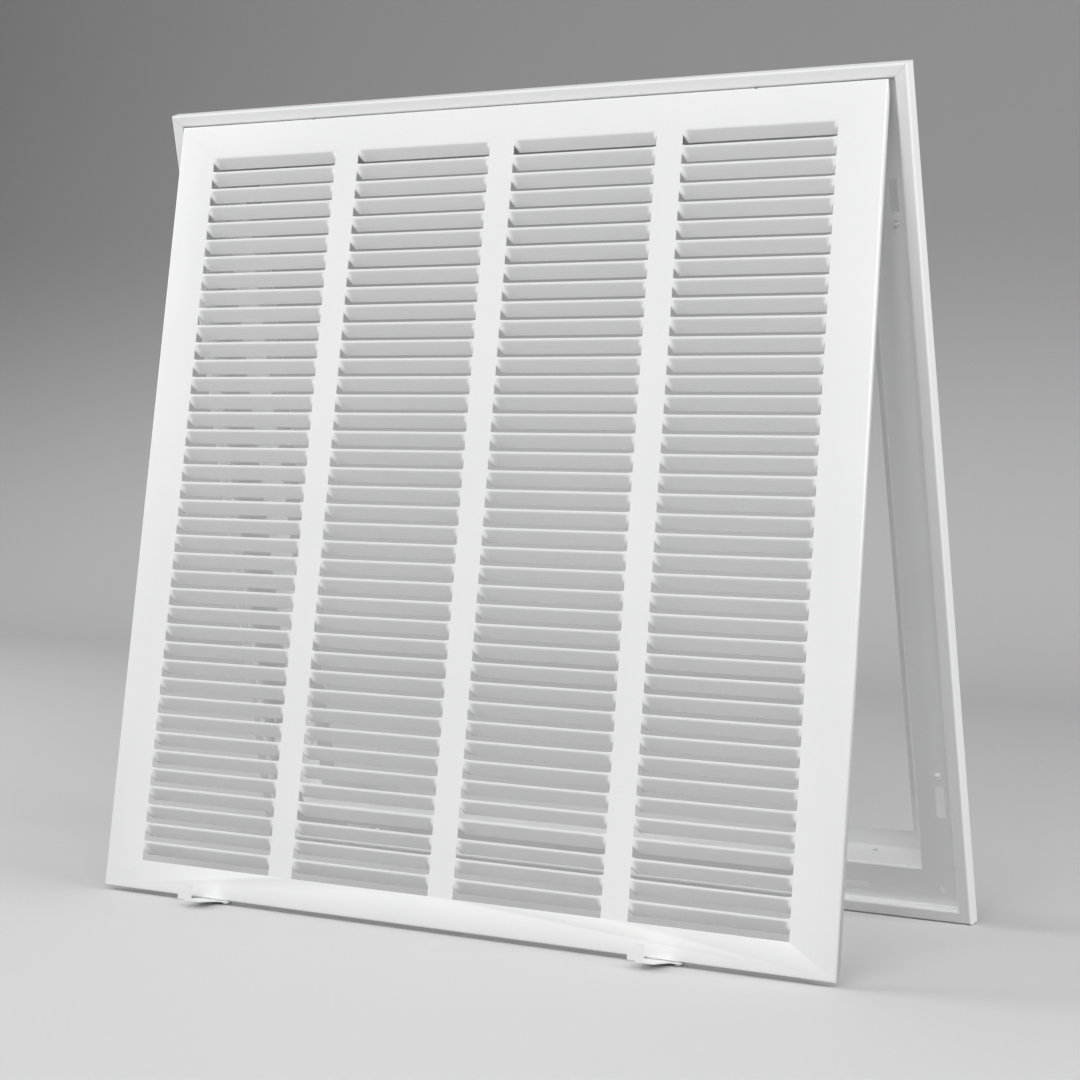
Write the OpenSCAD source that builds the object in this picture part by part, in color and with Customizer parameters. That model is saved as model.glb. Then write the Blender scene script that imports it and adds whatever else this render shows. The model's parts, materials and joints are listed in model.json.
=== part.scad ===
// Return air filter grille for a square wall opening: a recessed outer frame of four roll-formed
// sheet steel members, and a louvered door of one stamped sheet. The door hangs on two hook tabs
// at the top of the frame and is held shut by two swing latches under its bottom edge.
// The part stands open on the floor as an inverted V, with the door in front.
// Millimetres. X is to the right, the door faces -Y, Z is up and the floor is at Z = 0.

/* [Sheet] */
// Thickness of the steel sheet
sheet_t = 0.8; // [0.5:0.1:1.2]
// Centre line radius of the bends in the frame members
bend_r = 1.3; // [0.8:0.1:2.5]
// Centre line radius of the bend around the door
door_bend_r = 0.9; // [0.6:0.1:1.8]

/* [Frame] */
// Outside width and height of the frame
frame_size = 578; // [400:1:900]
// Inward slant of the outer lip from its back edge to the front
lip_slant = 0.9; // [0.2:0.1:3]
// Depth of the outer lip
lip_depth = 9.6; // [8:0.1:14]
// Width of the raised rim
rim_w = 9; // [6:0.5:16]
// Depth of the recess behind the rim
recess_depth = 6; // [4:0.5:8]
// Distance from the outer edge to the inside of the neck
neck_inset = 35.9; // [30:0.1:60]
// Depth of the neck behind the recess
neck_depth = 28; // [12:0.5:60]
// Height of the lip that stops the filter at the back of the neck
stop_h = 13.5; // [5:0.5:20]
// Gap between neighbouring frame members
seam_gap = 0.05; // [0.03:0.01:0.3]

/* [Frame holes] */
// Distance of the corner mounting holes from both outer edges
mount_inset = 21.5; // [15:0.5:28]
// Diameter of the corner mounting holes
mount_d = 4.2; // [3:0.1:6]
// Length of the slots in the recess
slot_l = 21.5; // [12:0.5:40]
// Height of the slots in the recess
slot_h = 6.3; // [3:0.1:9]
// Distance of the slots from the outer edge
slot_inset = 18.5; // [14:0.5:24]
// Distance of the middle of a slot from the end of its member
slot_x = 84.5; // [60:0.5:160]
// Radius of the small stop beside each slot
stop_r = 2.2; // [1:0.1:4]
// Distance of that stop from the end of its slot
stop_off = 7.6; // [4:0.1:12]
// Size of the opening under that stop
stop_hole = [1.8, 3.8]; // [0.5:0.1:5]
// Diameter of the screw holes in the neck
neck_hole_d = 4; // [2:0.1:6]
// Distance of the neck holes from the end of their member
neck_hole_x = 76; // [50:1:160]
// Distance of the neck holes in front of the back lip
neck_hole_y = 7; // [4:0.5:14]

/* [Door] */
// Gap between the edge of the door and the rim
door_gap = 3.1; // [2.4:0.1:6]
// Depth of the flange around the door
flange_d = 5.4; // [5:0.1:7]
// Length of the bevel at each end of the side flanges
flange_bevel = 10; // [4:0.5:20]

/* [Louvers] */
// Width of each column of louvers
column_w = 107.5; // [60:0.5:180]
// Width of the bars between the columns
bar_w = 19.5; // [8:0.5:40]
// Least width of the border beside the outer columns
side_border = 31; // [15:0.5:60]
// Distance between blades
row_pitch = 12.7; // [8:0.1:20]
// Distance from the top of the door to the first blade
top_border = 24.4; // [15:0.1:60]
// Least height of the border under the last blade
bottom_border = 20; // [12:0.1:60]
// Depth of a blade from its front edge to its back edge
blade_d = 6.7; // [3:0.1:12]
// Height of a blade
blade_h = 9.6; // [5:0.1:16]
// How far the front edge of a blade stands in front of the door face
blade_proud = 0.9; // [0.2:0.1:1.5]
// Length over which the front edge of a blade runs back to the face
blade_run = 3; // [2:0.5:14]
// Width of the bevel at each back corner of a blade
blade_bevel = 5.5; // [2:0.5:14]

/* [Hinge] */
// Opening angle of the door in the standing pose
open_angle = 21.7; // [15:0.1:30]
// Depth of the hinge line behind the front of the rim
hinge_y = 6; // [5:0.1:8]
// Distance of the hinge line below the top of the frame
hinge_z = 11; // [10:0.1:13]
// Distance of the middle of a hook tab from the side of the door
tab_x = 103.3; // [60:0.1:160]
// Width of a hook tab
tab_w = 24.4; // [12:0.1:40]
// Height of the hook behind the recess
hook_h = 4.3; // [2:0.1:6]
// Clearance around a hook tab in its slot
tab_clear = 0.3; // [0.2:0.05:1]
// Height of the slots that the hook tabs turn in
tab_slot_h = 2.8; // [2.4:0.1:6]
// Width of the relief notch beside each tab
relief_w = 2.6; // [1:0.1:5]

/* [Latches] */
// Distance of a latch rivet from the side of the door
latch_x = 104.5; // [60:0.5:160]
// Depth of the latch rivets behind the door face
rivet_y = 3.1; // [2.8:0.1:4]
// Thickness of a latch plate
latch_t = 1; // [0.8:0.1:1.5]
// Reach of a latch plate in front of its rivet
latch_reach = 24; // [15:0.5:35]
// Height of the thumb tab
thumb_h = 11.5; // [6:0.5:18]
// Width of the thumb tab
thumb_w = 5.5; // [3:0.5:10]
// Clearance above and below a latch plate
latch_gap = 0.15; // [0.1:0.05:0.3]
// Radius of a rivet shank
rivet_r = 1.5; // [1:0.1:2]
// Radius of the rivet heads
head_r = 2.1; // [1.8:0.1:3]
// Height of the rivet heads
head_h = 1; // [0.6:0.1:1.6]
// Swing of a latch from released to locked
latch_swing = 38; // [25:1:45]

/* [Hidden] */
arc_n = 4;
round_n = 48;
small_n = 32;
eps = 0.02;
cut = 2;
fit_gap = 0.05;
row_trim = 0.6;
blade_root = 0.3;
opening_edge = lip_slant + rim_w;
neck_back = recess_depth + neck_depth;
slot_at = frame_size / 2 - slot_x;
neck_hole_at = frame_size / 2 - neck_hole_x;

// The door fits in the opening of the rim
door_w = frame_size - 2 * (opening_edge + door_gap);
door_h = door_w;
tab_at = door_w / 2 - tab_x;
latch_at = door_w / 2 - latch_x;

// Geometry of the hinge in the closed pose, seen from the side as [depth, height]
pivot = [hinge_y, -hinge_z];
door_drop = opening_edge + door_gap;
door_proud = 2.6;
tab_slot_z = -door_drop + tab_clear - tab_slot_h / 2;

// Level of the latch plates under the door
plate_top = -door_h - latch_gap;
plate_low = plate_top - latch_t;
head_low = plate_low - latch_gap - head_h;

// Where the frame and the door touch the floor, in the frame's own depth and height
function swing(p, a) = [p[0] * cos(a) + p[1] * sin(a), p[1] * cos(a) - p[0] * sin(a)];
frame_foot = [0, -frame_size + lip_slant];
door_foot_closed = [rivet_y + head_r - door_proud, head_low - door_drop];
door_foot = pivot + swing(door_foot_closed - pivot, open_angle);
lean = atan2(door_foot[1] - frame_foot[1], frame_foot[0] - door_foot[0]);
frame_up = frame_size * cos(lean) - lip_slant * cos(lean);
front_tip = pivot + swing([rivet_y - latch_reach - door_proud, plate_low - door_drop] - pivot, open_angle);
front_y = front_tip[0] * cos(lean) - front_tip[1] * sin(lean);
back_low = [neck_back + sheet_t, -frame_size + neck_inset - sheet_t];
back_y = back_low[0] * cos(lean) - back_low[1] * sin(lean);
mid_y = (front_y + back_y) / 2;

// As many columns and blades as the door has room for
column_pitch = column_w + bar_w;
columns = floor((door_w - 2 * side_border + bar_w) / column_pitch);
rows = floor((door_h - top_border - bottom_border + row_trim) / row_pitch);
window_h = rows * row_pitch - row_trim;

// Angle and length of a blade
blade_tilt = atan(blade_d / blade_h);
blade_l = norm([blade_d, blade_h]);
blade_top = blade_proud / sin(blade_tilt);
blade_side = blade_top + 2.7;
first_z = -top_border + blade_top * cos(blade_tilt);

function left_of(v) = [-v[1], v[0]];
function unit(v) = v / norm(v);
function turn(a, b) = atan2(a[0] * b[1] - a[1] * b[0], a * b);

// Points of one side of a bend at p between directions a and b
function bend_points(p, a, b, r, off) =
    let (th = turn(a, b), sg = sign(th), c = p - a * (r * tan(abs(th) / 2)) + left_of(a) * sg * r)
    [for (k = [0 : arc_n])
        let (g = th * k / arc_n, v = -sg * left_of(a))
        c + [v[0] * cos(g) - v[1] * sin(g), v[0] * sin(g) + v[1] * cos(g)] * (r - sg * off)];

// One side of a bent sheet whose centre line follows path
function sheet_side(path, r, off) =
    let (n = len(path) - 1)
    [for (i = [0 : n])
        let (a = unit(path[max(i, 1)] - path[max(i, 1) - 1]), b = unit(path[min(i, n - 1) + 1] - path[min(i, n - 1)]))
        each (i == 0 || i == n ? [path[i] + left_of(i == 0 ? b : a) * off] : bend_points(path[i], a, b, r, off))];

function reversed(v) = [for (i = [len(v) - 1 : -1 : 0]) v[i]];

function bent_sheet(path, r) =
    concat(sheet_side(path, r, sheet_t / 2), reversed(sheet_side(path, r, -sheet_t / 2)));

// Centre line of the frame section, as [depth, height below the outer edge]
frame_path = [
    [lip_depth + sheet_t, -sheet_t / 2],
    [sheet_t / 2, -lip_slant - sheet_t / 2],
    [sheet_t / 2, -opening_edge + sheet_t / 2],
    [recess_depth + sheet_t / 2, -opening_edge + sheet_t / 2],
    [recess_depth + sheet_t / 2, -neck_inset + sheet_t / 2],
    [neck_back + sheet_t / 2, -neck_inset + sheet_t / 2],
    [neck_back + sheet_t / 2, -neck_inset - stop_h]
];

// Centre line of the door edge, as [depth, height below the door's edge]
door_edge_path = [
    [sheet_t / 2, -flange_d],
    [sheet_t / 2, -sheet_t / 2],
    [flange_d, -sheet_t / 2]
];

// Sheet profile run along X
module run(path, r, length) {
    rotate([90, 0, 90])
        linear_extrude(height = length, center = true)
            polygon(bent_sheet(path, r));
}

// Block cut at 45 degrees at both ends of a member
module mitre(size, depth, gap) {
    reach = 2 * neck_inset;
    translate([0, depth, 0])
        rotate([90, 0, 0])
            linear_extrude(height = 2 * depth)
                polygon([
                    [-size / 2 + gap - cut, cut],
                    [size / 2 - gap + cut, cut],
                    [size / 2 - gap - reach, -reach],
                    [-size / 2 + gap + reach, -reach]
                ]);
}

// Corner piece of the recess floor that only the rails have
module floor_corner(side) {
    half = frame_size / 2 - opening_edge - seam_gap;
    start = frame_size / 2 - neck_inset - cut;
    x0 = side > 0 ? start : -half;
    translate([x0, recess_depth, -neck_inset + sheet_t])
        cube([half - start, sheet_t, neck_inset - opening_edge - sheet_t]);
}

// Rounded slot through the recess floor
module recess_slot(x, z, length, height) {
    translate([x - length / 2, recess_depth - cut / 2, z - height / 2])
        cube([length, sheet_t + cut, height]);
}

// Small raised stop beside a slot, pressed out of the sheet
module slot_stop(side) {
    translate([side * (slot_at - slot_l / 2 - stop_off), recess_depth + sheet_t / 2, -slot_inset])
        intersection() {
            sphere(r = stop_r, $fn = small_n);
            translate([-stop_r, -stop_r, -stop_r])
                cube([2 * stop_r, stop_r + sheet_t / 4, 2 * stop_r]);
        }
}

// Opening left in the sheet on the slot's side of a stop
module stop_opening(side) {
    x = side * (slot_at - slot_l / 2 - stop_off + stop_r / 4 + stop_hole[0] / 2);
    translate([x - stop_hole[0] / 2, recess_depth - stop_r - cut, -slot_inset - stop_hole[1] / 2])
        cube([stop_hole[0], stop_r + sheet_t + 2 * cut, stop_hole[1]]);
}

module neck_holes() {
    for (side = [-1, 1])
        translate([side * neck_hole_at, neck_back - neck_hole_y, -neck_inset - cut])
            cylinder(d = neck_hole_d, h = 2 * cut + sheet_t, $fn = small_n);
}

module member_body() {
    difference() {
        intersection() {
            run(frame_path, bend_r, frame_size);
            mitre(frame_size, 2 * neck_back, seam_gap);
        }
        translate([-frame_size, lip_depth, -2 * sheet_t])
            cube([2 * frame_size, 2 * sheet_t, 2 * sheet_t + cut]);
    }
}

// Horizontal member, drawn as the top one
module rail(slots) {
    difference() {
        union() {
            member_body();
            floor_corner(1);
            floor_corner(-1);
            if (slots)
                for (side = [-1, 1])
                    slot_stop(side);
        }
        for (side = [-1, 1])
            translate([side * (frame_size / 2 - mount_inset), recess_depth - cut, -mount_inset])
                rotate([-90, 0, 0])
                    cylinder(d = mount_d, h = 2 * cut + sheet_t, $fn = small_n);
        if (slots)
            for (side = [-1, 1]) {
                recess_slot(side * slot_at, -slot_inset, slot_l, slot_h);
                stop_opening(side);
            }
        neck_holes();
    }
}

// Upright member, drawn as a top one without the corners of its floor
module stile() {
    corner = neck_inset - sheet_t + seam_gap;
    difference() {
        union() {
            member_body();
            for (side = [-1, 1])
                slot_stop(side);
        }
        for (side = [-1, 1])
            translate([side > 0 ? frame_size / 2 - corner : -frame_size / 2, recess_depth - eps, -neck_inset - eps])
                cube([corner, sheet_t + 2 * eps, neck_inset - opening_edge]);
        for (side = [-1, 1]) {
            recess_slot(side * slot_at, -slot_inset, slot_l, slot_h);
            stop_opening(side);
        }
        neck_holes();
    }
}

// Puts a part drawn in the frame's own upright position into the standing pose
module stand() {
    translate([0, -mid_y, frame_up])
        rotate([lean, 0, 0])
            children();
}

// Puts a part drawn on the door, whose face is at Y = 0 and top edge at Z = 0, into the standing pose
module on_door() {
    stand()
        translate([0, pivot[0], pivot[1]])
            rotate([-open_angle, 0, 0])
                translate([0, -door_proud - pivot[0], -door_drop - pivot[1]])
                    children();
}

module frame_top_rail() {
    color([0.93, 0.93, 0.93])
        stand()
            difference() {
                rail(false);
                for (side = [-1, 1])
                    recess_slot(side * tab_at, tab_slot_z, tab_w + 2 * tab_clear, tab_slot_h);
            }
}

module frame_bottom_rail() {
    latch_slot_l = 23.5;
    latch_slot_h = 3.3;
    color([0.93, 0.93, 0.93])
        stand()
            translate([0, 0, -frame_size])
                mirror([0, 0, 1])
                    difference() {
                        rail(true);
                        for (side = [-1, 1])
                            recess_slot(side * latch_at - latch_slot_l / 2, -opening_edge - 0.7 - latch_slot_h / 2,
                                latch_slot_l, latch_slot_h);
                    }
}

module frame_left_stile() {
    color([0.93, 0.93, 0.93])
        stand()
            translate([0, 0, -frame_size / 2])
                rotate([0, -90, 0])
                    translate([0, 0, frame_size / 2])
                        stile();
}

module frame_right_stile() {
    color([0.93, 0.93, 0.93])
        stand()
            translate([0, 0, -frame_size / 2])
                rotate([0, 90, 0])
                    translate([0, 0, frame_size / 2])
                        stile();
}

// One edge of the door, drawn as the top one
module door_edge(length) {
    intersection() {
        run(door_edge_path, door_bend_r, length + 2 * cut);
        mitre(length, 2 * flange_d, 0);
    }
}

module door_sheet() {
    inner = flange_d - sheet_t;
    difference() {
        union() {
            translate([-door_w / 2 + inner, 0, -door_h + inner])
                cube([door_w - 2 * inner, sheet_t, door_h - 2 * inner]);
            door_edge(door_w);
            translate([0, 0, -door_h])
                mirror([0, 0, 1])
                    door_edge(door_w);
            for (side = [-1, 1])
                translate([0, 0, -door_h / 2])
                    rotate([0, side * 90, 0])
                        translate([0, 0, door_w / 2])
                            door_edge(door_h);
        }
        for (i = [0 : columns - 1])
            translate([(i - (columns - 1) / 2) * column_pitch - column_w / 2, -cut, -top_border - window_h])
                cube([column_w, sheet_t + 2 * cut, window_h - blade_root]);
        for (side = [-1, 1], low = [0, 1])
            translate([side * door_w / 2 - 1.5 * sheet_t, 0, low ? -door_h : 0])
                rotate([90, 0, 90])
                    linear_extrude(height = 3 * sheet_t)
                        polygon([
                            [2 * door_bend_r, (low ? -1 : 1) * cut],
                            [2 * door_bend_r, 0],
                            [flange_d + cut, (low ? 1 : -1) * (flange_bevel + cut)],
                            [flange_d + cut, (low ? -1 : 1) * cut]
                        ]);
        for (side = [-1, 1])
            translate([side * tab_at + tab_w / 2, -cut, -sheet_t])
                cube([relief_w, flange_d + 2 * cut, sheet_t + cut]);
        for (side = [-1, 1])
            translate([side * latch_at, rivet_y, -door_h - cut])
                cylinder(r = rivet_r + fit_gap, h = sheet_t + 2 * cut, $fn = small_n);
    }
}

// Outline of a blade in its own plane, with its front edge at the top
module blade_outline(lift) {
    half = column_w / 2 + blade_root;
    mid_x = 0.3 * blade_bevel;
    mid_l = blade_l - 0.4 * (blade_l - blade_side);
    polygon([
        [-half, -blade_top],
        [-half + blade_run, -blade_top + lift],
        [half - blade_run, -blade_top + lift],
        [half, -blade_top],
        [half, -blade_side],
        [half - mid_x, -mid_l],
        [half - blade_bevel, -blade_l],
        [-half + blade_bevel, -blade_l],
        [-half + mid_x, -mid_l],
        [-half, -blade_side]
    ]);
}

module blade(lift) {
    translate([0, -blade_proud, 0])
        rotate([blade_tilt, 0, 0])
            translate([0, sheet_t, 0])
                rotate([90, 0, 0])
                    linear_extrude(height = sheet_t)
                        blade_outline(lift);
}

module hook_tab() {
    translate([-tab_w / 2, flange_d - sheet_t, -sheet_t])
        cube([tab_w, recess_depth + door_proud + 3.2 - flange_d + 2 * sheet_t, sheet_t]);
    translate([-tab_w / 2, recess_depth + door_proud + 3.2, -sheet_t])
        cube([tab_w, sheet_t, hook_h]);
}

module door_panel() {
    color([0.95, 0.95, 0.95])
        on_door()
            union() {
                door_sheet();
                for (i = [0 : columns - 1], j = [0 : rows - 1])
                    translate([(i - (columns - 1) / 2) * column_pitch, 0, first_z - j * row_pitch])
                        blade(j == 0 ? 0 : blade_top);
                for (side = [-1, 1])
                    translate([side * tab_at, 0, 0])
                        hook_tab();
            }
}

// Swing latch with its rivet axis at the origin and its thumb tab in front, to the left
module latch() {
    hub = 4;
    slant_x = -20.5;
    tip_left = -17.8;
    tip_right = -5.4;
    tip_r = 4;
    difference() {
        union() {
            cylinder(r = hub, h = latch_t, $fn = round_n);
            linear_extrude(height = latch_t)
                polygon([
                    [0, hub],
                    [-11, 3.3],
                    [slant_x, -rivet_y - 1],
                    [tip_left, -latch_reach],
                    [tip_right - tip_r, -latch_reach],
                    [tip_right, -latch_reach + tip_r],
                    [-3.4, -rivet_y - 1],
                    [0, -hub]
                ]);
            translate([tip_right - tip_r, -latch_reach + tip_r, 0])
                cylinder(r = tip_r, h = latch_t, $fn = round_n);
            translate([tip_left, -latch_reach, 0])
                cube([thumb_w, latch_t, thumb_h]);
            translate([tip_left - thumb_w, -latch_reach, latch_t])
                cube([thumb_w + latch_t, latch_t, thumb_h / 3]);
        }
        translate([0, 0, -cut])
            cylinder(r = rivet_r + fit_gap, h = latch_t + 2 * cut, $fn = small_n);
    }
}

module latch_left() {
    color([0.94, 0.94, 0.94])
        on_door()
            translate([-latch_at, rivet_y, plate_low])
                latch();
}

module latch_right() {
    color([0.94, 0.94, 0.94])
        on_door()
            translate([latch_at, rivet_y, plate_low])
                latch();
}

// Rivet with one head above the flange and one below the latch plate
module rivet() {
    translate([0, 0, head_low])
        cylinder(r = head_r, h = head_h, $fn = small_n);
    translate([0, 0, head_low])
        cylinder(r = rivet_r, h = -door_h + sheet_t - head_low + head_h / 2, $fn = small_n);
    translate([0, 0, -door_h + sheet_t])
        cylinder(r = head_r, h = head_h, $fn = small_n);
}

module latch_rivet_left() {
    color([0.9, 0.9, 0.9])
        on_door()
            translate([-latch_at, rivet_y, 0])
                rivet();
}

module latch_rivet_right() {
    color([0.9, 0.9, 0.9])
        on_door()
            translate([latch_at, rivet_y, 0])
                rivet();
}

frame_top_rail();
frame_bottom_rail();
frame_left_stile();
frame_right_stile();
door_panel();
latch_left();
latch_right();
latch_rivet_left();
latch_rivet_right();
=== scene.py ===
import json
import math

import bmesh
import bpy
from mathutils import Matrix, Vector


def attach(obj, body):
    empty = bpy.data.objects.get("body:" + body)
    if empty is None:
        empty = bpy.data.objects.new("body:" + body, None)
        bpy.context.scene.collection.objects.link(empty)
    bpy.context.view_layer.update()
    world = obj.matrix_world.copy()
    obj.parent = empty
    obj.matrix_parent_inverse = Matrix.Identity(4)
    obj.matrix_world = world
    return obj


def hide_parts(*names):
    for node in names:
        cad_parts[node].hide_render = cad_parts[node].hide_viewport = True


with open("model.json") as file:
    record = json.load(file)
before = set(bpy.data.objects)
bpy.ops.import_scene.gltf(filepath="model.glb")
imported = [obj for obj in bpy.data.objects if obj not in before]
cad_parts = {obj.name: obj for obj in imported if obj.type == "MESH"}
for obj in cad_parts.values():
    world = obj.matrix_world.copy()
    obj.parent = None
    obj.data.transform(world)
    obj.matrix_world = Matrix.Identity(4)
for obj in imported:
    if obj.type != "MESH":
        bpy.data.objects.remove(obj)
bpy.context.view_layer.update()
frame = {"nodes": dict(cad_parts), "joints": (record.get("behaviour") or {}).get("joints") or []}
nodes = frame["nodes"]
joints = {j["name"]: j for j in frame["joints"]}


# Node helpers

def new_material(name):
    m = bpy.data.materials.new(name)
    m.use_nodes = True
    nt = m.node_tree
    nt.nodes.clear()
    out = nt.nodes.new("ShaderNodeOutputMaterial")
    bsdf = nt.nodes.new("ShaderNodeBsdfPrincipled")
    nt.links.new(bsdf.outputs[0], out.inputs[0])
    return m, nt, bsdf


def noise(nt, coord, scale, detail=3.0, rough=0.5):
    n = nt.nodes.new("ShaderNodeTexNoise")
    n.inputs["Scale"].default_value = scale
    n.inputs["Detail"].default_value = detail
    n.inputs["Roughness"].default_value = rough
    nt.links.new(coord, n.inputs["Vector"])
    return n.outputs[0]


def ramp(nt, value, lo, hi, out_lo, out_hi, rounded=False):
    r = nt.nodes.new("ShaderNodeMapRange")
    if rounded:
        r.interpolation_type = "SMOOTHSTEP"
    r.inputs["From Min"].default_value = lo
    r.inputs["From Max"].default_value = hi
    r.inputs["To Min"].default_value = out_lo
    r.inputs["To Max"].default_value = out_hi
    nt.links.new(value, r.inputs["Value"])
    return r.outputs[0]


def blend_colour(nt, factor, a, b):
    mix = nt.nodes.new("ShaderNodeMix")
    mix.data_type = "RGBA"
    for socket, value in ((mix.inputs[6], a), (mix.inputs[7], b)):
        if isinstance(value, tuple):
            socket.default_value = (*value, 1)
        else:
            nt.links.new(value, socket)
    nt.links.new(factor, mix.inputs[0])
    return mix.outputs[2]


def grey(value):
    return (value, value, value)


def toned(tone, tint):
    return tuple(tone * t for t in tint)


# White powder coat: a fine orange peel, faint unevenness of tone and gloss, and edges rounded by the paint.
# The noise scales are in cycles a metre, the peel's height in metres. A noise mostly stays in NOISE_RANGE.

BROAD_NOISE, FINE_NOISE, PEEL_NOISE = 9.0, 420.0, 900.0
NOISE_RANGE = (0.3, 0.7)
DARKER, LIGHTER = (0.975, 0.978, 0.982), (1.012, 1.012, 1.010)
GLOSSIER, DULLER = -0.05, 0.06
PEEL_HEIGHT = 0.00012


def powder_coat(name, tone, rough, edge):
    m, nt, bsdf = new_material(name)
    coord = nt.nodes.new("ShaderNodeTexCoord").outputs["Object"]
    broad = ramp(nt, noise(nt, coord, BROAD_NOISE), *NOISE_RANGE, 0.0, 1.0)
    fine = noise(nt, coord, FINE_NOISE, detail=2.0)
    peel = noise(nt, coord, PEEL_NOISE, detail=2.0, rough=0.6)

    colour = blend_colour(nt, broad, toned(tone, DARKER), toned(tone, LIGHTER))
    nt.links.new(colour, bsdf.inputs["Base Color"])
    gloss = ramp(nt, fine, *NOISE_RANGE, rough + GLOSSIER, rough + DULLER)
    nt.links.new(gloss, bsdf.inputs["Roughness"])
    bsdf.inputs["Specular IOR Level"].default_value = 0.45
    bsdf.inputs["IOR"].default_value = 1.5

    bevel = nt.nodes.new("ShaderNodeBevel")
    bevel.samples = 4
    bevel.inputs["Radius"].default_value = edge
    bump = nt.nodes.new("ShaderNodeBump")
    bump.inputs["Strength"].default_value = 0.12
    bump.inputs["Distance"].default_value = PEEL_HEIGHT
    nt.links.new(peel, bump.inputs["Height"])
    nt.links.new(bevel.outputs[0], bump.inputs["Normal"])
    nt.links.new(bump.outputs[0], bsdf.inputs["Normal"])
    return m


# Studio paper: pale on the floor and greyer up the backdrop. What the camera sees is the paper's colour,
# and the light that it throws back on the object is weaker.

FLOOR_TONE, WALL_TONE, BOUNCE_TONE = 0.66, 0.36, 0.16
WALL_TONE_HEIGHT = 0.8


def studio_paper(name):
    m, nt, bsdf = new_material(name)
    coord = nt.nodes.new("ShaderNodeTexCoord").outputs["Object"]
    split = nt.nodes.new("ShaderNodeSeparateXYZ")
    nt.links.new(coord, split.inputs[0])
    height = ramp(nt, split.outputs["Z"], 0.0, WALL_TONE_HEIGHT, 0.0, 1.0, rounded=True)
    seen = blend_colour(nt, height, grey(FLOOR_TONE), grey(WALL_TONE))

    path = nt.nodes.new("ShaderNodeLightPath")
    shown = path.outputs["Is Camera Ray"]
    for ray in ("Is Glossy Ray", "Is Transmission Ray"):
        most = nt.nodes.new("ShaderNodeMath")
        most.operation = "MAXIMUM"
        nt.links.new(shown, most.inputs[0])
        nt.links.new(path.outputs[ray], most.inputs[1])
        shown = most.outputs[0]
    nt.links.new(blend_colour(nt, shown, grey(BOUNCE_TONE), seen), bsdf.inputs["Base Color"])
    bsdf.inputs["Roughness"].default_value = 0.7
    bsdf.inputs["Specular IOR Level"].default_value = 0.3
    return m


# Paint on every piece. The edge is the radius that the paint gives to a sharp corner, in metres.

PAINT_TONE, RIVET_TONE = 0.86, 0.80
EDGE, FRAME_EDGE = 0.0002, 0.00012

door_paint = powder_coat("door_paint", PAINT_TONE, rough=0.42, edge=EDGE)
frame_paint = powder_coat("frame_paint", PAINT_TONE, rough=0.42, edge=FRAME_EDGE)
latch_paint = powder_coat("latch_paint", PAINT_TONE, rough=0.40, edge=EDGE)
rivet_paint = powder_coat("rivet_paint", RIVET_TONE, rough=0.36, edge=EDGE)

paints = {
    "frame_top_rail": frame_paint,
    "frame_bottom_rail": frame_paint,
    "frame_left_stile": frame_paint,
    "frame_right_stile": frame_paint,
    "door_panel": door_paint,
    "latch_left": latch_paint,
    "latch_right": latch_paint,
    "latch_rivet_left": rivet_paint,
    "latch_rivet_right": rivet_paint,
}
for name, paint in paints.items():
    o = nodes[name]
    if not o.material_slots:
        o.data.materials.append(paint)
    for s in o.material_slots:
        s.material = paint


# The door's own axes, in millimetres: x across from its middle, y back from its face, z up from its top
# edge. The door hinge gives their place, and the latches, which turn about the door's upright, their lean.

HINGE_BEHIND_FACE, HINGE_ABOVE_EDGE = 8.6, 2.0

door_up = Vector(joints["left_latch_turn"]["axis"])
door_lean = math.atan2(-door_up.y, door_up.z)
door_place = (
    Matrix.Translation(joints["door_hinge"]["pos_m"])
    @ Matrix.Rotation(door_lean, 4, "X")
    @ Matrix.Scale(0.001, 4)
    @ Matrix.Translation((0, -HINGE_BEHIND_FACE, -HINGE_ABOVE_EDGE))
)


def mesh_on_door(name, verts, faces):
    me = bpy.data.meshes.new(name)
    me.from_pydata([door_place @ Vector(v) for v in verts], [], faces)
    return me


# Windows: each column of blades fills one. The cut is a little wider than the window, and the new blades
# close what it takes of the bars.

SHEET = 0.8
COLUMNS, COLUMN_PITCH, COLUMN_HALF = 4, 127.0, 53.75
ROWS, ROW_PITCH, ROW_TRIM = 40, 12.7, 0.6
WINDOW_TOP = -24.4
WINDOW_LOW = WINDOW_TOP - (ROWS * ROW_PITCH - ROW_TRIM)
CUT_SIDE = 0.32
CUT_HALF = COLUMN_HALF + CUT_SIDE
CUT_FRONT, CUT_BACK = -4.0, 12.0

column_middles = [(column - (COLUMNS - 1) / 2) * COLUMN_PITCH for column in range(COLUMNS)]


def window_cutter():
    verts, faces = [], []
    for middle in column_middles:
        b = len(verts)
        for x in (middle - CUT_HALF, middle + CUT_HALF):
            for y in (CUT_FRONT, CUT_BACK):
                verts += [(x, y, WINDOW_LOW), (x, y, WINDOW_TOP)]
        for side in ((0, 1, 3, 2), (4, 6, 7, 5), (0, 4, 5, 1), (2, 3, 7, 6), (0, 2, 6, 4), (1, 5, 7, 3)):
            faces.append(tuple(b + corner for corner in side))
    return mesh_on_door("window_cutter", verts, faces)


# Pressed blades. A blade starts with a near upright lip in front of the face, bends, and slants in behind
# the face to its foot. Down to JOINED its ends run into the bars, and below that a notch frees them.
# The lip of each column's first blade is in the face itself.

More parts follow.
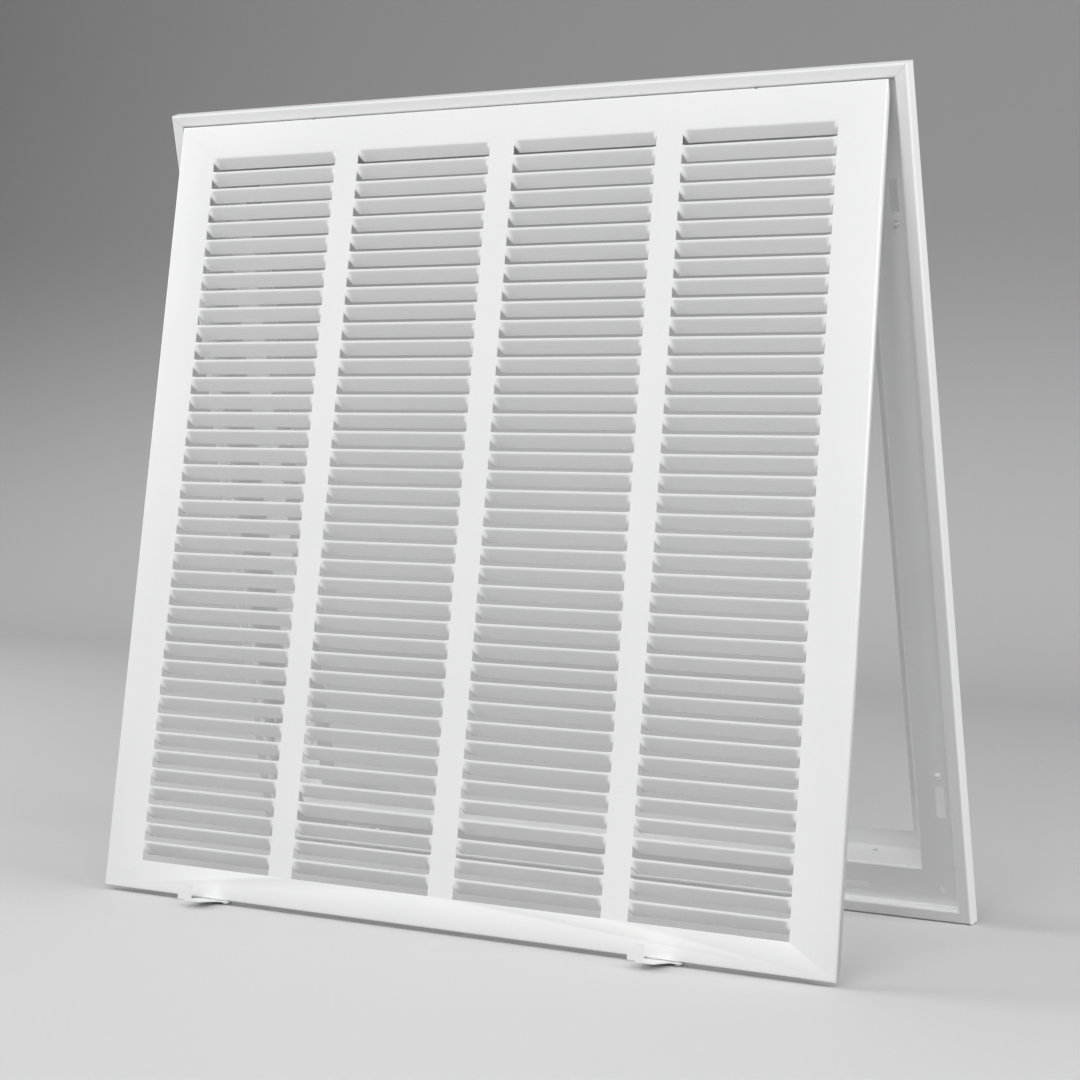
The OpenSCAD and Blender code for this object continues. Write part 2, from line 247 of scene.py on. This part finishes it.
FIRST_BLADE, BLADE_HEIGHT, BLADE_BACK = -23.11, 9.6, 5.8
LIP_PROUD, LIP_HEIGHT, LIP_RADIUS = 0.5, 0.8, 2.0
FIRST_LIP = 0.3
BEND_STEPS, SLANT_STEPS = 3, 5
JOINED, NOTCH, NOTCH_RUN = 5.4, 1.3, 0.9
NOTCH_OPENS_OVER = 1 / 6
END_RUN, END_LIFT = 4.2, 0.5
TUCK = 0.02
SLANT_GUESS, SLANT_ROUNDS = 0.5, 20
END_STATIONS = (-0.3, 0.0, 0.35, 0.8, 1.3, 1.9, 2.6, 3.4, 4.4)


def ease(t):
    t = min(max(t, 0.0), 1.0)
    return t * t * (3 - 2 * t)


def blade_profile(first):
    """The middle of a blade's front, from its top to its foot, as (depth, height, slant)."""
    lip, lip_height = (0.0, FIRST_LIP) if first else (-LIP_PROUD, LIP_HEIGHT)
    height = WINDOW_TOP - FIRST_BLADE if first else 0.0
    points = [(TUCK, height + FIRST_LIP, 0.0)] if first else []
    points.append((lip, height, 0.0))
    height -= lip_height
    points.append((lip, height, 0.0))

    # The bend ends where its tangent meets the foot, and the rounds settle that slant.
    centre = lip + LIP_RADIUS
    slant = SLANT_GUESS
    for _ in range(SLANT_ROUNDS):
        run = BLADE_BACK - (centre - LIP_RADIUS * math.cos(slant))
        slant = math.atan2(run, BLADE_HEIGHT + height - LIP_RADIUS * math.sin(slant))
    for step in range(1, BEND_STEPS + 1):
        a = slant * step / BEND_STEPS
        points.append((centre - LIP_RADIUS * math.cos(a), height - LIP_RADIUS * math.sin(a), a))

    depth, height = points[-1][:2]
    for step in range(1, SLANT_STEPS + 1):
        t = step / SLANT_STEPS
        points.append((depth + (BLADE_BACK - depth) * t, height - (BLADE_HEIGHT + height) * t, slant))
    return points


def blade_row(first, depth, height, slant):
    """The front and back points of a blade at one height, from its left end to its right end."""
    below = max(0.0, (-height - JOINED) / (BLADE_HEIGHT - JOINED))
    start = CUT_SIDE * ease(below / NOTCH_OPENS_OVER) + NOTCH * below if below else END_STATIONS[0]
    run = END_RUN * (1 - below) + NOTCH_RUN * below
    lift = 0.0 if first else END_LIFT * max(0.0, 1 + height / JOINED)
    front, back = [], []
    for side, stations in ((-1, END_STATIONS), (1, END_STATIONS[::-1])):
        for station in stations:
            share = (station - END_STATIONS[0]) / (END_STATIONS[-1] - END_STATIONS[0])
            inward = start + share * (END_STATIONS[-1] - start)
            full = below + (1 - below) * ease((inward - max(start, 0.0)) / run)
            x = side * (CUT_HALF - inward)
            y = depth * full if inward >= 0 else TUCK
            z = height + lift * (1 - full)
            front.append((x, y, z))
            back.append((x, y + SHEET * math.cos(slant * full), z + SHEET * math.sin(slant * full)))
    return front, back


def blade_faces(base, rows, stations):
    """A closed skin: the front, the back, the two ends, the top edge and the foot."""
    def at(layer, row, station):
        return base + (layer * rows + row) * stations + station

    faces = []
    for i in range(rows - 1):
        for k in range(stations - 1):
            faces.append((at(0, i, k), at(0, i, k + 1), at(0, i + 1, k + 1), at(0, i + 1, k)))
            faces.append((at(1, i, k), at(1, i + 1, k), at(1, i + 1, k + 1), at(1, i, k + 1)))
        for k in (0, stations - 1):
            faces.append((at(0, i, k), at(0, i + 1, k), at(1, i + 1, k), at(1, i, k)))
    for k in range(stations - 1):
        for i in (0, rows - 1):
            faces.append((at(0, i, k), at(1, i, k), at(1, i, k + 1), at(0, i, k + 1)))
    return faces


def blade_mesh():
    first_blade, other_blade = ([blade_row(first, *point) for point in blade_profile(first)]
                                for first in (True, False))
    verts, faces = [], []
    for middle in column_middles:
        for row in range(ROWS):
            blade = other_blade if row else first_blade
            base = len(verts)
            for layer in (0, 1):
                for line in blade:
                    verts += [(x + middle, y, z + FIRST_BLADE - row * ROW_PITCH) for x, y, z in line[layer]]
            faces += blade_faces(base, len(blade), len(blade[0][0]))
    return mesh_on_door("blades", verts, faces)


# Louvered door: the CAD sheet with its plain blades cut out, and the pressed blades in their place

JOIN_DISTANCE = 1e-6
SHARP_FROM = math.radians(40)


def cleaned(me, merge=False):
    bm = bmesh.new()
    bm.from_mesh(me)
    if merge:
        bmesh.ops.remove_doubles(bm, verts=bm.verts, dist=JOIN_DISTANCE)
    bmesh.ops.recalc_face_normals(bm, faces=bm.faces)
    bm.to_mesh(me)
    bm.free()
    return me


def sheet_without_blades():
    sheet = bpy.data.objects.new("door_sheet", cleaned(nodes["door_panel"].data.copy(), merge=True))
    cutter = bpy.data.objects.new("window_cutter", cleaned(window_cutter()))
    for o in (sheet, cutter):
        bpy.context.collection.objects.link(o)
    cut = sheet.modifiers.new("windows", "BOOLEAN")
    cut.operation = "DIFFERENCE"
    cut.solver = "EXACT"
    cut.object = cutter
    bpy.context.view_layer.update()
    me = bpy.data.meshes.new_from_object(sheet.evaluated_get(bpy.context.evaluated_depsgraph_get()))
    for o in (sheet, cutter):
        bpy.data.objects.remove(o)
    return me


def louvered_door():
    bm = bmesh.new()
    bm.from_mesh(sheet_without_blades())
    bm.from_mesh(cleaned(blade_mesh()))
    for f in bm.faces:
        f.smooth = True
        f.material_index = 0
    me = bpy.data.meshes.new("louvered_door")
    bm.to_mesh(me)
    bm.free()
    me.set_sharp_from_angle(angle=SHARP_FROM)
    me.materials.append(door_paint)
    o = bpy.data.objects.new("louvered_door", me)
    bpy.context.collection.objects.link(o)
    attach(o, "door")
    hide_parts("door_panel")


louvered_door()


# Stage: a pale floor that runs up into a backdrop, in metres

STAGE_HALF, STAGE_FRONT, STAGE_BACK, STAGE_HIGH = 6.0, -4.0, 2.6, 4.5
CURVE_RADIUS, CURVE_STEPS = 1.2, 16


def sweep():
    curve_start = STAGE_BACK - CURVE_RADIUS
    profile = [(STAGE_FRONT, 0.0), (curve_start, 0.0)]
    for step in range(1, CURVE_STEPS + 1):
        a = math.pi / 2 * step / CURVE_STEPS
        profile.append((curve_start + CURVE_RADIUS * math.sin(a), CURVE_RADIUS * (1 - math.cos(a))))
    profile.append((STAGE_BACK, STAGE_HIGH))
    verts = [(x, y, z) for y, z in profile for x in (-STAGE_HALF, STAGE_HALF)]
    faces = [(2 * k, 2 * k + 1, 2 * k + 3, 2 * k + 2) for k in range(len(profile) - 1)]
    me = bpy.data.meshes.new("studio_floor")
    me.from_pydata(verts, [], faces)
    for p in me.polygons:
        p.use_smooth = True
    o = bpy.data.objects.new("studio_floor", me)
    bpy.context.collection.objects.link(o)
    o.data.materials.append(studio_paper("floor_paper"))
    return o


floor = sweep()


# Lights, all aimed at the object's middle: name, place, size and watts

AIM = (0, 0, 0.28)
LIGHTS = [
    ("side_left", (-2.6, -0.6, 1.2), (1.4, 1.6), 46),
    ("side_right", (2.6, -0.2, 1.2), (1.4, 1.6), 42),
    ("front_low", (0.0, -3.0, 0.8), (1.8, 1.2), 21),
    ("front_high", (0.2, -2.6, 2.2), (1.6, 1.2), 15),
    ("front_right", (1.8, -2.2, 2.0), (1.4, 1.4), 19),
]
WORLD_LIGHT = 0.34

for name, place, size, watts in LIGHTS:
    d = bpy.data.lights.new(name, "AREA")
    d.shape = "RECTANGLE"
    d.size, d.size_y = size
    d.energy = watts
    o = bpy.data.objects.new(name, d)
    bpy.context.collection.objects.link(o)
    o.location = place
    dx, dy, dz = (a - p for a, p in zip(AIM, place))
    o.rotation_euler = (math.atan2(math.hypot(dx, dy), -dz), 0, math.atan2(dy, dx) - math.pi / 2)

world = bpy.data.worlds.new("studio")
world.use_nodes = True
bg = world.node_tree.nodes["Background"]
bg.inputs[0].default_value = (1, 1, 1, 1)
bg.inputs[1].default_value = WORLD_LIGHT
bpy.context.scene.world = world


# Camera, set to the photograph's view, in metres and degrees

CAMERA_PLACE = (0.77129, -1.37220, 0.31937)
CAMERA_TURN = (91.8663, -0.74, 28.9829)

cam_data = bpy.data.cameras.new("camera")
cam = bpy.data.objects.new("camera", cam_data)
bpy.context.collection.objects.link(cam)
cam.location = CAMERA_PLACE
cam.rotation_euler = tuple(math.radians(a) for a in CAMERA_TURN)
cam_data.sensor_width = 36
cam_data.lens = 75.454
cam_data.shift_y = -0.15849
cam_data.clip_start = 0.05
cam_data.clip_end = 40
bpy.context.scene.camera = cam

bpy.context.scene.view_settings.view_transform = "Standard"
